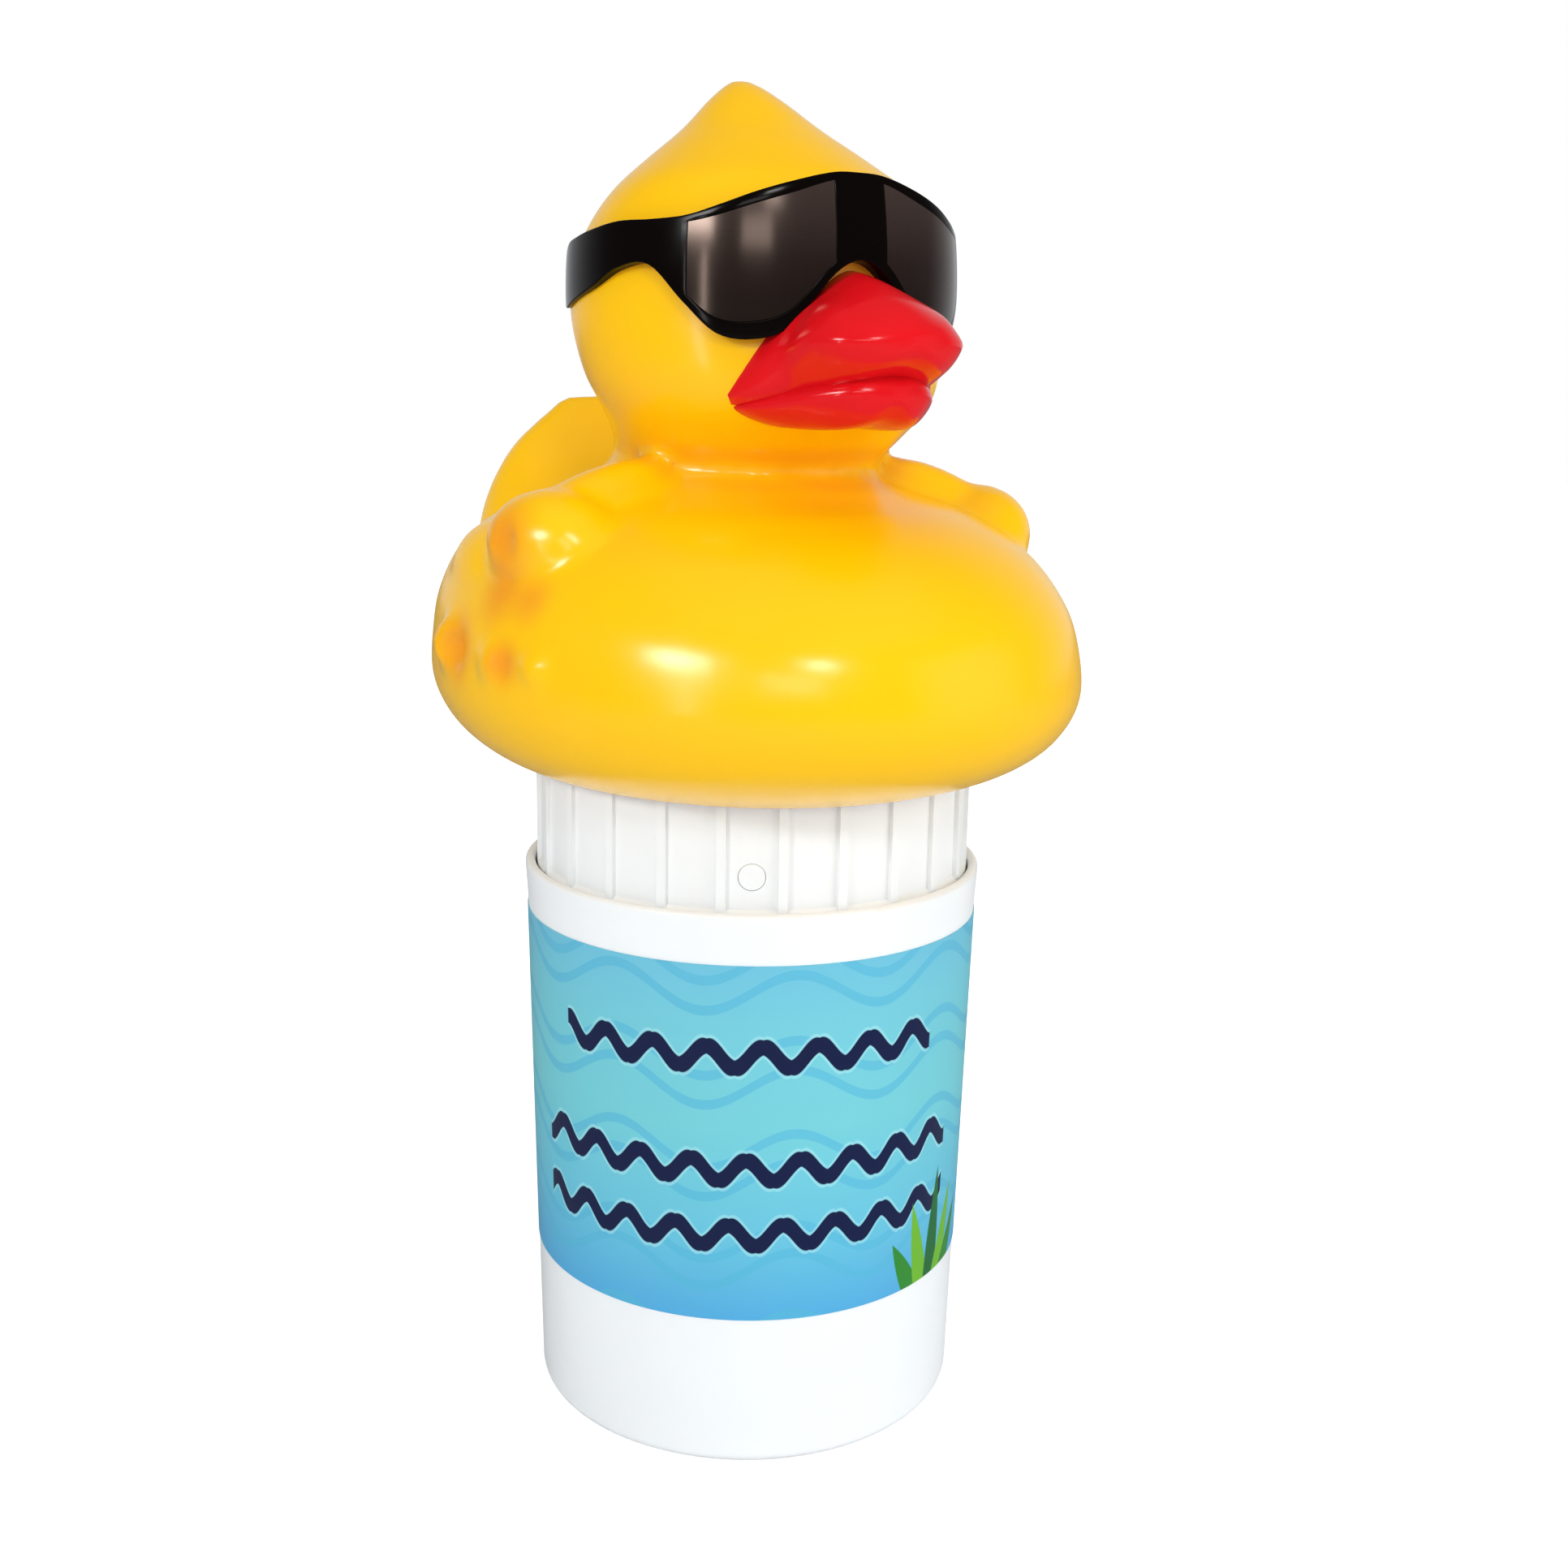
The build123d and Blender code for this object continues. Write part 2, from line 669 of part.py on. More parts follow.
def glasses_band(rows, depth, recess, margin):
    """Barrel-shaped band round the head: depth thick, sunk by recess, trimmed by margin."""
    sections = []
    for angle, upper, lower, radius in rows:
        turn = math.radians(angle)
        plane = Plane(
            origin=(0, 0, duck_base), x_dir=(-math.sin(turn), -math.cos(turn), 0),
            z_dir=(-math.cos(turn), math.sin(turn), 0),
        )
        low, high = lower * size + margin, upper * size - margin

        def edge(height, inward):
            drop = glasses_barrel * ((height / size - glasses_middle) / 20.0) ** 2
            return (radius * size - recess - drop - inward, height)

        middle = (low + high) / 2
        face = make_face([
            ThreePointArc(edge(low, 0), edge(middle, 0), edge(high, 0)),
            Line(edge(high, 0), edge(high, depth)),
            ThreePointArc(edge(high, depth), edge(middle, depth), edge(low, depth)),
            Line(edge(low, depth), edge(low, 0)),
        ])
        sections.append(plane * face)
    return loft(sections)


def lens_rows(side):
    """Edge stations that a lens spans, from left to right."""
    rows = [(side * row[0],) + row[1:] for row in glasses_edges if lens_start <= row[0] <= lens_end]
    return rows if side > 0 else rows[::-1]


def lens_solid(side):
    """One lens: a curved plate sunk in the front of the frame."""
    return glasses_band(lens_rows(side), lens_thickness, lens_recess, lens_margin)


def lens_pocket(side):
    """Room for a lens, open to the front."""
    open_front = lens_thickness + 4 * cut
    return glasses_band(lens_rows(side), open_front, lens_recess - 4 * cut, lens_margin)


def make_sunglasses_frame(head, bill):
    """Wrap-around frame with temples, fitted to the head, with pockets for the lenses."""
    rows = [(-row[0],) + row[1:] for row in reversed(glasses_edges[1:])] + glasses_edges
    frame = glasses_band(rows, glasses_depth * size, 0, 0) - head - bill
    for side in (-1, 1):
        frame -= lens_pocket(side)
        frame -= temple_pin(side, pin_radius + press_gap, pin_overrun)
    return frame


if __name__ == "__main__":
    os.makedirs("parts", exist_ok=True)
    head = duck_loft(0)
    bill = make_bill(head)
    nodes = {
        "canister": make_canister(),
        "label": make_label(),
        "vent_dial": make_vent_dial(),
        "dial_screw": make_dial_screw(),
        "collar": make_collar(),
        "lock_button": make_lock_button(),
        "lock_guide": make_lock_guide(),
        "lock_spring": make_lock_spring(),
        "base_plate": make_base_plate(),
        "neck_washer": make_neck_washer(),
        "neck_nut": make_neck_nut(),
        "air_plug": make_air_plug(),
        "plug_seal": make_plug_seal(),
        "duck_shell": make_duck_shell(),
        "bill": bill,
        "sunglasses_frame": make_sunglasses_frame(head, bill),
        "lens_right": lens_solid(1),
        "lens_left": lens_solid(-1),
        "glasses_pins": Compound(children=[temple_pin(side, pin_radius, 0) for side in (-1, 1)]),
    }
    for name, solid in nodes.items():
        export_step(solid, f"parts/{name}.step")
        print(name, len(solid.solids()), round(solid.volume))
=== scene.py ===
import math

import bmesh
import bpy
from mathutils import Matrix, Vector


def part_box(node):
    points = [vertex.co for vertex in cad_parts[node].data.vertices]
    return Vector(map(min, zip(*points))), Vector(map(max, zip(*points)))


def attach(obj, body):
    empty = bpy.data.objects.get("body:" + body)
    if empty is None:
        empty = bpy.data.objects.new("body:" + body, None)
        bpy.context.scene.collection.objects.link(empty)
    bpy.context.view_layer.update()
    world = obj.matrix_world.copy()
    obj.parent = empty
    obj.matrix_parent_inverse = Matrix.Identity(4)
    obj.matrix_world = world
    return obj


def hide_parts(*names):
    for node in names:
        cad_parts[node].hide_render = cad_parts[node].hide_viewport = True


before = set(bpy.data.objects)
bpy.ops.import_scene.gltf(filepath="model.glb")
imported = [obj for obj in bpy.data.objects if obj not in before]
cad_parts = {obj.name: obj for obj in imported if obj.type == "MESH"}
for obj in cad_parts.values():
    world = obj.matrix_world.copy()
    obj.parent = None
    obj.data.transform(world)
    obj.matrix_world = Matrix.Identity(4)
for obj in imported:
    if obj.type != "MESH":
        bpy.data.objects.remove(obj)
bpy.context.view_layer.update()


# ---------------------------------------------------------------- studio
# A pale table and a white surround, lit at an even, plain level by a broad ceiling light, a wide
# fill and small softboxes. Two of those leave the highlights on the duck's chest.
def deselect():
    """Leaves nothing selected, so that the next operator acts on the new piece alone."""
    if bpy.context.mode != "OBJECT":
        bpy.ops.object.mode_set(mode="OBJECT")
    bpy.ops.object.select_all(action="DESELECT")


def linear(code):
    """Hex sRGB colour to the linear colour that a shader takes."""
    channels = [int(code[i:i + 2], 16) / 255 for i in (1, 3, 5)]
    return [c / 12.92 if c <= 0.04045 else ((c + 0.055) / 1.055) ** 2.4 for c in channels] + [1.0]


def add(tree, kind, values=None, links=None, **settings):
    """Adds a node with its settings, its input values and the nodes or sockets that feed it.

    A node feeds by its first output. An input goes by its name or its number: a Map Range takes
    a value as 0 and its limits, from and to, as 1 to 4, and a colour Mix takes its share as 0
    and its two colours as 6 and 7.
    """
    node = tree.nodes.new(kind)
    for name, value in settings.items():
        setattr(node, name, value)
    for name, value in (values or {}).items():
        node.inputs[name].default_value = value
    for name, source in (links or {}).items():
        if isinstance(source, bpy.types.Node):
            source = source.outputs[0]
        tree.links.new(source, node.inputs[name])
    return node


def new_material(name):
    """Empty node material with its output, ready for a shader."""
    material = bpy.data.materials.new(name)
    material.use_nodes = True
    material.node_tree.nodes.clear()
    return material, material.node_tree


def close_material(tree, shader):
    """Joins the finished shader to the material's output."""
    add(tree, "ShaderNodeOutputMaterial", links={"Surface": shader})


def add_lamp(name, place, aim, size, power):
    """Softbox that faces aim."""
    deselect()
    bpy.ops.object.light_add(type="AREA", location=place)
    lamp = bpy.context.object
    lamp.name = name
    lamp.data.shape = "RECTANGLE"
    lamp.data.size, lamp.data.size_y = size
    lamp.data.energy = power
    lamp.rotation_euler = (Vector(aim) - Vector(place)).to_track_quat("-Z", "Y").to_euler()
    return lamp


chest = (0.0, 0.0, 0.20)
left_stand = (-1.16, -0.42, 0.74)
add_lamp("lamp_left", left_stand, chest, (0.30, 0.20), 4.2)
add_lamp("lamp_front", (-0.36, -1.06, 0.86), chest, (0.22, 0.15), 2.4)
# A larger box round the left one only softens the edge of its highlight.
halo = add_lamp("lamp_halo", left_stand, chest, (0.44, 0.30), 5.2)
halo.visible_diffuse = False
# An upright strip and a level one give the lenses their streak and their sheen.
add_lamp("lamp_strip", (-1.13, -0.516, 0.30), (-0.03, -0.03, 0.27), (0.05, 0.4), 0.7)
add_lamp("lamp_brow", (-0.66, -1.13, 0.64), (0.0, 0.0, 0.28), (0.5, 0.18), 1.2)
# The fill and the ceiling light brighten what they reach and leave no highlight of their own.
fill = add_lamp("lamp_right", (0.95, -1.0, 0.50), chest, (1.1, 0.9), 8.6)
fill.visible_glossy = False
deselect()
bpy.ops.object.light_add(type="SUN", location=(0, 0, 2), rotation=(math.radians(8), 0, 0))
ceiling = bpy.context.object
ceiling.name = "ceiling_light"
ceiling.data.energy = 1.0
ceiling.data.angle = math.radians(70)
ceiling.visible_glossy = False

world = bpy.data.worlds.new("white_surround")
bpy.context.scene.world = world
world.use_nodes = True
sky = world.node_tree
sky.nodes.clear()
rays = add(sky, "ShaderNodeLightPath")
seen = add(sky, "ShaderNodeMath", operation="MAXIMUM", links={
    0: rays.outputs["Is Camera Ray"], 1: rays.outputs["Is Transmission Ray"]})
# Shiny pieces see a white sweep behind the product and the dim of the room in front of it,
# while all that is matt is lit evenly from everywhere.
even_light = 0.38
toward = add(sky, "ShaderNodeTexCoord")
behind = add(sky, "ShaderNodeVectorMath", {1: (0.48, 0.87, -0.45)},
             {0: toward.outputs["Generated"]}, operation="DOT_PRODUCT")
sweep = add(sky, "ShaderNodeMapRange", {1: 0.25, 2: 0.85, 3: 0.12, 4: 0.7},
            {0: behind.outputs["Value"]})
strength = add(sky, "ShaderNodeMapRange", {3: even_light}, {
    0: rays.outputs["Is Glossy Ray"], 4: sweep})
lit = add(sky, "ShaderNodeBackground", {"Color": linear("#F4F7FA")}, {"Strength": strength})
bright = add(sky, "ShaderNodeBackground", {"Color": linear("#FFFFFF"), "Strength": 1.0})
mixed = add(sky, "ShaderNodeMixShader", links={0: seen, 1: lit, 2: bright})
add(sky, "ShaderNodeOutputWorld", links={"Surface": mixed})

deselect()
bpy.ops.mesh.primitive_circle_add(
    vertices=96, radius=6.0, fill_type="NGON", location=(0, 0, -0.0002))
table = bpy.context.object
table.name = "table_top"
laminate, tree = new_material("white_laminate")
# Matt and nearly white to the camera, but a quiet grey in what shiny pieces mirror.
rays = add(tree, "ShaderNodeLightPath")
tone = add(tree, "ShaderNodeMix", {6: linear("#F3F4F5"), 7: linear("#8C8D8E")},
           {0: rays.outputs["Is Glossy Ray"]}, data_type="RGBA")
matt = add(tree, "ShaderNodeBsdfDiffuse", links={"Color": tone.outputs[2]})
glow = add(tree, "ShaderNodeEmission", {"Color": linear("#FFFFFF"), "Strength": 0.55})
both = add(tree, "ShaderNodeAddShader", links={0: matt, 1: glow})
mixed = add(tree, "ShaderNodeMixShader", links={
    0: rays.outputs["Is Camera Ray"], 1: matt, 2: both})
close_material(tree, mixed)
table.data.materials.append(laminate)

# ---------------------------------------------------------------- camera
# Stands a little above the duck's wings, 28 degrees round from the bill, and looks slightly
# down along the canister.
deselect()
bpy.ops.object.camera_add()
camera = bpy.context.object
camera.name = "camera"
heading = Matrix.Rotation(math.radians(-29.01), 4, "Z")
downward = Matrix.Rotation(math.radians(90 - 12.5), 4, "X")
tilt = Matrix.Rotation(math.radians(1.12), 4, "Z")
camera.matrix_world = Matrix.Translation((-0.2057, -0.3869, 0.2538)) @ heading @ downward @ tilt
camera.data.sensor_width = 36.0
camera.data.lens = 40.81
camera.data.clip_start = 0.01
bpy.context.scene.camera = camera
bpy.context.scene.view_settings.view_transform = "Standard"

# ---------------------------------------------------------------- duck
# Blow-moulded vinyl toy duck, the float that carries everything. Body, neck, head and crest
# are one smooth skin; the tail and the wings' lobes swell out of it with soft fillets.
duck_base = 0.161           # lowest plane of the belly


def along(table, at):
    """Values of a table at a place between its rows, on a smooth curve."""
    index = max(i for i in range(len(table) - 1) if table[i][0] <= at or i == 0)
    before, start = table[max(index - 1, 0)], table[index]
    end, after = table[index + 1], table[min(index + 2, len(table) - 1)]
    step = end[0] - start[0]
    t = (at - start[0]) / step
    values = []
    for k in range(1, len(start)):
        leave = (end[k] - before[k]) / (end[0] - before[0]) * step
        arrive = (after[k] - start[k]) / (after[0] - start[0]) * step
        values.append(
            (2 * t**3 - 3 * t**2 + 1) * start[k] + (t**3 - 2 * t**2 + t) * leave
            + (3 * t**2 - 2 * t**3) * end[k] + (t**3 - t**2) * arrive)
    return values


def tube(name, around, levels, place):
    """Closed form: a grid rolled up, its points put where place says, in millimetres above
    the belly plane, from the share of the way round and the share of the way along."""
    deselect()
    bpy.ops.mesh.primitive_grid_add(x_subdivisions=around, y_subdivisions=levels, size=2)
    piece = bpy.context.object
    piece.name = name
    for vertex in piece.data.vertices:
        x, y, z = place((vertex.co.x + 1) / 2, (vertex.co.y + 1) / 2)
        vertex.co = (x / 1000, y / 1000, duck_base + z / 1000)
    bpy.ops.object.mode_set(mode="EDIT")
    bpy.ops.mesh.select_all(action="SELECT")
    bpy.ops.mesh.remove_doubles(threshold=0.00001)
    bpy.ops.mesh.select_all(action="DESELECT")
    bpy.ops.mesh.select_non_manifold()
    bpy.ops.mesh.fill_holes(sides=0)
    bpy.ops.mesh.select_all(action="SELECT")
    bpy.ops.mesh.normals_make_consistent(inside=False)
    bpy.ops.object.mode_set(mode="OBJECT")
    return piece


def pick(piece):
    """Selects one piece alone and makes it the active one."""
    deselect()
    piece.select_set(True)
    bpy.context.view_layer.objects.active = piece


def apply_modifier(piece, kind, **settings):
    """Adds a modifier with its settings and applies it."""
    pick(piece)
    modifier = piece.modifiers.new(kind.lower(), kind)
    for name, value in settings.items():
        setattr(modifier, name, value)
    bpy.ops.object.modifier_apply(modifier=modifier.name)


def place_in_mesh(piece):
    """Moves a piece's place, turn and size from its object into its mesh."""
    pick(piece)
    bpy.ops.object.transform_apply(location=True, rotation=True, scale=True)


def join(pieces, name):
    """Joins pieces into the first one."""
    pick(pieces[0])
    for piece in pieces[1:]:
        piece.select_set(True)
    bpy.ops.object.join()
    pieces[0].name = name
    return pieces[0]


def lobe(place, radii, lean=0, twist=0):
    """Rounded lump in millimetres above the belly plane: a ball stretched, leaned and turned."""
    deselect()
    bpy.ops.mesh.primitive_uv_sphere_add(segments=48, ring_count=24, radius=0.001)
    piece = bpy.context.object
    piece.scale = radii
    piece.rotation_euler = (0, math.radians(lean), math.radians(twist))
    piece.location = (place[0] / 1000, place[1] / 1000, duck_base + place[2] / 1000)
    place_in_mesh(piece)
    return piece


# Level rings from belly to crest, in mm: height, backward shift, half length, half width.
body_rings = [
    (0.0, 3.5, 49.0, 45.6), (3.4, 3.5, 64.3, 57.8), (7.9, 3.5, 76.4, 66.1),
    (14.2, 3.5, 85.6, 72.4), (23.0, 3.5, 91.0, 76.2), (33.0, 4.0, 91.0, 75.8),
    (44.0, 5.5, 87.8, 73.4), (56.0, 8.0, 77.6, 66.2), (64.5, 9.5, 62.5, 54.0),
    (69.5, 11.2, 44.4, 42.0), (74.4, 9.2, 34.2, 33.0), (81.0, 1.8, 34.8, 34.2),
    (88.5, -2.2, 39.6, 38.7), (96.0, -0.8, 43.1, 42.1), (109.0, 2.0, 44.6, 44.2),
    (120.0, 2.0, 43.9, 43.7), (129.0, 1.0, 40.8, 40.6), (137.5, 0.0, 35.2, 35.0),
    (145.0, 2.5, 26.2, 26.0), (152.0, 5.5, 17.0, 16.8), (158.5, 8.8, 10.0, 9.8),
    (162.6, 11.0, 5.0, 5.0), (164.4, 12.0, 2.0, 2.0),
]


def body_place(around, share):
    """Point of the body's skin."""
    height = body_rings[-1][0] * share
    shift, half_length, half_width = along(body_rings, height)
    turn = 2 * math.pi * around
    return (half_width * math.cos(turn), shift + half_length * math.sin(turn), height)


duck = tube("duck_skin", 96, 110, body_place)

# Upturned tail, in mm: station, back, up, half width, half thickness, degrees from level.
tail_rings = [
    (0, 56, 38, 50, 34, 70), (1, 74, 57, 45, 22, 45), (2, 84, 75, 33, 13, 25),
    (3, 88, 89.6, 15.5, 5.5, 12)]


def tail_place(around, share):
    """Point of the tail's skin."""
    back, up, wide, thick, lean = along(tail_rings, tail_rings[-1][0] * share)
    turn = 2 * math.pi * around
    out = thick * math.sin(turn)
    lean = math.radians(lean)
    return (wide * math.cos(turn), back + out * math.cos(lean), up - out * math.sin(lean))


tail = tube("duck_tail", 64, 24, tail_place)

# Each wing is a ridge along the back with its swellings. Place, radii, lean and twist of the
# lobes on the duck's right; those on its left are their mirror images.
lobes = []
for side in (1, -1):
    for (across, back, up), radii, lean, twist in [
        ((-46, -8, 67.5), (21, 8, 7), -20, 0),
        ((-57.5, -11, 58), (13.5, 17, 12.5), 0, 23),
        ((-57.5, 12, 48), (14, 26, 15), 0, 0),
        ((-67, -14, 32), (9.5, 10.5, 7.5), 0, 15),
        ((-70, 10, 33.5), (9, 9, 8), 0, 0),
        ((-66.5, -29, 33), (6.5, 6, 4.5), 0, 25),
    ]:
        lobes.append(lobe((side * across, back, up), radii, side * lean, side * twist))
duck = join([duck, tail] + lobes, "duck_skin")
skin_voxel = 0.0014         # small enough to keep the folds between the lobes
apply_modifier(duck, "REMESH", mode="VOXEL", voxel_size=skin_voxel)


def cylinder(name, radius, low, high):
    """Upright cylinder about the Z axis, in millimetres above the standing face."""
    deselect()
    bpy.ops.mesh.primitive_cylinder_add(
        vertices=96, radius=radius / 1000, depth=(high - low) / 1000,
        location=(0, 0, (low + high) / 2000))
    piece = bpy.context.object
    piece.name = name
    place_in_mesh(piece)
    return piece


def carve(piece, tool):
    """Cuts a tool's form out of a piece and deletes the tool."""
    apply_modifier(piece, "BOOLEAN", operation="DIFFERENCE", solver="EXACT", object=tool)
    bpy.data.objects.remove(tool)


# The lobes' outer ends are pressed in, then everything is eased as blow moulding eases it.
for side in (1, -1):
    for (across, back, up), radii in [
        ((-75.5, -15, 60), (7, 8.5, 8.5)),
        ((-81, 3, 34), (7, 7.5, 6.5)),
        ((-78.5, -21, 33.5), (6.5, 4.5, 6)),
    ]:
        carve(duck, lobe((side * across, back, up), radii))
apply_modifier(duck, "REMESH", mode="VOXEL", voxel_size=skin_voxel)
apply_modifier(duck, "SMOOTH", factor=0.6, iterations=9)

# The collar seats in a shallow recess of the belly, round the moulded neck that takes the air
# plug. The neck hangs below the belly plane; its heights are in mm above the standing face.
seat_radius = 54.9
seat_depth = 3.4
neck_radius = 16.0
neck_bore = 13.0
neck_low = 146.9
neck_high = 168.0
overrun = 3.0               # how far a tool runs out of what it cuts
belly = duck_base * 1000
carve(duck, cylinder("seat_tool", seat_radius, belly - overrun, belly + seat_depth))
neck = cylinder("duck_neck", neck_radius, neck_low, neck_high)
carve(neck, cylinder("bore_tool", neck_bore, neck_low - overrun, neck_high + overrun))
duck = join([duck, neck], "duck_skin")
pick(duck)
bpy.ops.object.shade_smooth_by_angle(angle=math.radians(50))

vinyl, tree = new_material("moulded_vinyl_yellow")
# Yellow vinyl with painted shade: orange is painted into the folds where they face each other and
# round the wings' pressed hollows. Its skin is faintly uneven.
gloss_patch = 18            # mm from one patch of more or less gloss to the next
pebble = 2                  # mm, coarser than the real skin's, which would not show
place = add(tree, "ShaderNodeTexCoord")
# Painted shade: skin closed in by nearby skin within 13 mm is painted towards orange.
fold = add(tree, "ShaderNodeAmbientOcclusion", {"Distance": 0.013}, samples=16)
depth = add(tree, "ShaderNodeMapRange", {1: 0.1, 2: 0.74, 3: 0.0, 4: 1.0}, {0: fold.outputs["AO"]})
apart = add(tree, "ShaderNodeSeparateXYZ", links={0: place.outputs["Object"]})
side = add(tree, "ShaderNodeMath", operation="ABSOLUTE", links={0: apart.outputs["X"]})
mirrored = add(tree, "ShaderNodeCombineXYZ", links={
    0: side, 1: apart.outputs["Y"], 2: apart.outputs["Z"]})
# Middle and reach of the painted orange shade round each hollow, in millimetres above the belly
# plane.
clear_of_painted_shade = depth
for (across, back, up), reach in [
    ((73, -13, 60), 15.0), ((78, 3, 34), 13.0), ((75, -20.5, 33.5), 8.5),
    ((66, -11, 46), 13.0), ((64, -22, 45), 10.0),
]:
    hollow = (across / 1000, back / 1000, duck_base + up / 1000)
    near = add(tree, "ShaderNodeVectorMath", {1: hollow}, {0: mirrored}, operation="DISTANCE")
    # Painted shade: orange strongest at each hollow's middle, fading out over its reach.
    clear_of_hollow_shade = add(tree, "ShaderNodeMapRange", {1: 0.0, 2: reach / 1000, 3: 0.1, 4: 1.0},
               {0: near.outputs["Value"]}, interpolation_type="SMOOTHSTEP")
    clear_of_painted_shade = add(tree, "ShaderNodeMath", links={0: clear_of_painted_shade, 1: clear_of_hollow_shade}, operation="MULTIPLY")
# The plain yellow, painted orange as shade where the masks above are low.
colour = add(tree, "ShaderNodeMix", {6: linear("#F08A22"), 7: linear("#FFC400")},
             {0: clear_of_painted_shade}, data_type="RGBA")
mottle = add(tree, "ShaderNodeTexNoise", {"Scale": 1000 / gloss_patch, "Detail": 3.0},
             {"Vector": place.outputs["Object"]})
rough = add(tree, "ShaderNodeMapRange", {1: 0.3, 2: 0.7, 3: 0.2, 4: 0.25},
            {0: mottle.outputs["Fac"]})
grain = add(tree, "ShaderNodeTexNoise", {"Scale": 1000 / pebble, "Detail": 1.0},
            {"Vector": place.outputs["Object"]})
skin_bump = add(tree, "ShaderNodeBump", {"Strength": 0.04, "Distance": 0.0001},
                {"Height": grain.outputs["Fac"]})
skin = add(tree, "ShaderNodeBsdfPrincipled", {"IOR": 1.45, "Specular IOR Level": 0.5}, {
    "Base Color": colour.outputs[2], "Roughness": rough, "Normal": skin_bump})
close_material(tree, skin)
duck.data.materials.clear()
duck.data.materials.append(vinyl)
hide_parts("duck_shell")
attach(duck, "float")

# ---------------------------------------------------------------- bill
# Injection-moulded ABS bill in high-gloss red, pegged into the face. The upper half is a steep
# ridge at the face that spreads into a blunt spoon; the lower half is a shallow scoop under it.
def bill_outline(ridge, shoulder, shoulder_up, wide, wide_up, lip, lip_up):
    """Closed upright section of the bill as a table of way round it, across and up, and the
    ways round at which one whole turn begins and ends."""
    swell = 0.1             # how far the flank bows out of a straight line, as a share of it
    flank = ((shoulder + wide) / 2 + swell * (wide - shoulder),
             (shoulder_up + wide_up) / 2 + swell * (shoulder_up - wide_up))
    right = [(shoulder, shoulder_up), flank, (wide, wide_up), (lip, lip_up)]
    left = [(-across, up) for across, up in reversed(right)]
    loop = [(0, ridge)] + right + [(0, lip_up)] + left
    table = []
    way = 0
    spare = 3               # points repeated past each end, so that the curve closes smoothly
    for index in range(-spare, len(loop) + spare + 1):
        point = loop[index % len(loop)]
        if table:
            way += math.dist(table[-1][1:], point)
        table.append((way, *point))
    return table, table[spare][0], table[spare + len(loop)][0]


def bill_half(name, stations):
    """Half of the bill: a tube through its sections, with closer rings at the tip."""
    first, last = stations[0][0], stations[-1][0]
    crowding = 1.6          # 1 would space the rings evenly

    def place(around, share):
        forward = first + (last - first) * (1 - (1 - share) ** crowding)
        table, begin, end = bill_outline(*along(stations, forward))
        across, up = along(table, begin + around * (end - begin))
        return (across, -forward, up)

    return tube(name, 64, 44, place)


# Stations forward from the head's axis: forward, height of the ridge, then half width and
# height of the shoulder, of the widest line and of the lip, in mm above the belly plane.
upper = bill_half("bill_upper", [
    (30, 119.6, 10.5, 112.8, 26.0, 92.0, 24.4, 89.0),
    (36, 119.2, 10.5, 112.6, 25.2, 92.2, 23.4, 89.4),
    (41, 118.6, 10.2, 112.3, 22.2, 95.6, 20.0, 90.2),
    (46, 117.6, 10.4, 111.9, 19.2, 99.4, 15.2, 91.4),
    (52, 115.8, 11.2, 111.3, 18.7, 101.6, 13.2, 93.2),
    (58, 113.2, 11.8, 109.8, 17.8, 102.2, 11.8, 95.2),
    (63, 110.6, 10.4, 107.8, 15.4, 102.4, 10.2, 96.8),
    (67, 107.6, 7.2, 106.0, 10.4, 102.6, 7.2, 98.6),
    (69.2, 105.2, 3.4, 104.5, 4.8, 102.9, 3.6, 100.9),
    (69.7, 103.9, 0.9, 103.6, 1.2, 103.1, 0.9, 102.6)])
lower = bill_half("bill_lower", [
    (30, 93.6, 12.0, 93.4, 24.4, 88.8, 15.0, 85.2),
    (38, 94.4, 12.0, 94.0, 23.2, 88.9, 15.0, 84.8),
    (46, 96.0, 12.0, 95.2, 18.8, 89.8, 12.0, 84.8),
    (53, 97.6, 9.0, 96.8, 14.8, 91.2, 9.6, 85.4),
    (59, 97.4, 5.6, 96.8, 9.8, 92.0, 6.0, 87.2),
    (61.6, 94.8, 2.8, 94.6, 5.0, 92.2, 3.0, 89.8),
    (62.4, 92.6, 0.8, 92.5, 1.3, 92.0, 0.8, 91.2)])
bill = join([upper, lower], "bill_halves")
bpy.ops.object.shade_smooth()
gloss_red, tree = new_material("abs_gloss_red")
# Polished moulding: clean reflections that waver a little where the wall cooled unevenly.
waver_size = 14             # mm from one dip to the next
place = add(tree, "ShaderNodeTexCoord")
waver = add(tree, "ShaderNodeTexNoise", {"Scale": 1000 / waver_size, "Detail": 2.0},
            {"Vector": place.outputs["Object"]})
rough = add(tree, "ShaderNodeMapRange", {1: 0.3, 2: 0.7, 3: 0.12, 4: 0.2},
            {0: waver.outputs["Fac"]})
ripple = add(tree, "ShaderNodeBump", {"Strength": 0.08, "Distance": 0.001},
             {"Height": waver.outputs["Fac"]})
shell = add(tree, "ShaderNodeBsdfPrincipled", {
    "Base Color": linear("#DC121A"), "IOR": 1.5, "Specular IOR Level": 0.3},
    {"Roughness": rough, "Normal": ripple})
close_material(tree, shell)
bill.data.materials.clear()
bill.data.materials.append(gloss_red)
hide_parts("bill")
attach(bill, "float")

# ---------------------------------------------------------------- sunglasses
# One wrap-around moulding in gloss black with smoked lenses let into its front. It hugs the
# head from temple to temple and arches over the bill.
temple_end = 122            # degrees round from the bill
widest_line = 115           # height at which the band stands out furthest, in mm
crown = 1.8                 # how far it draws in, 20 mm above or below that line
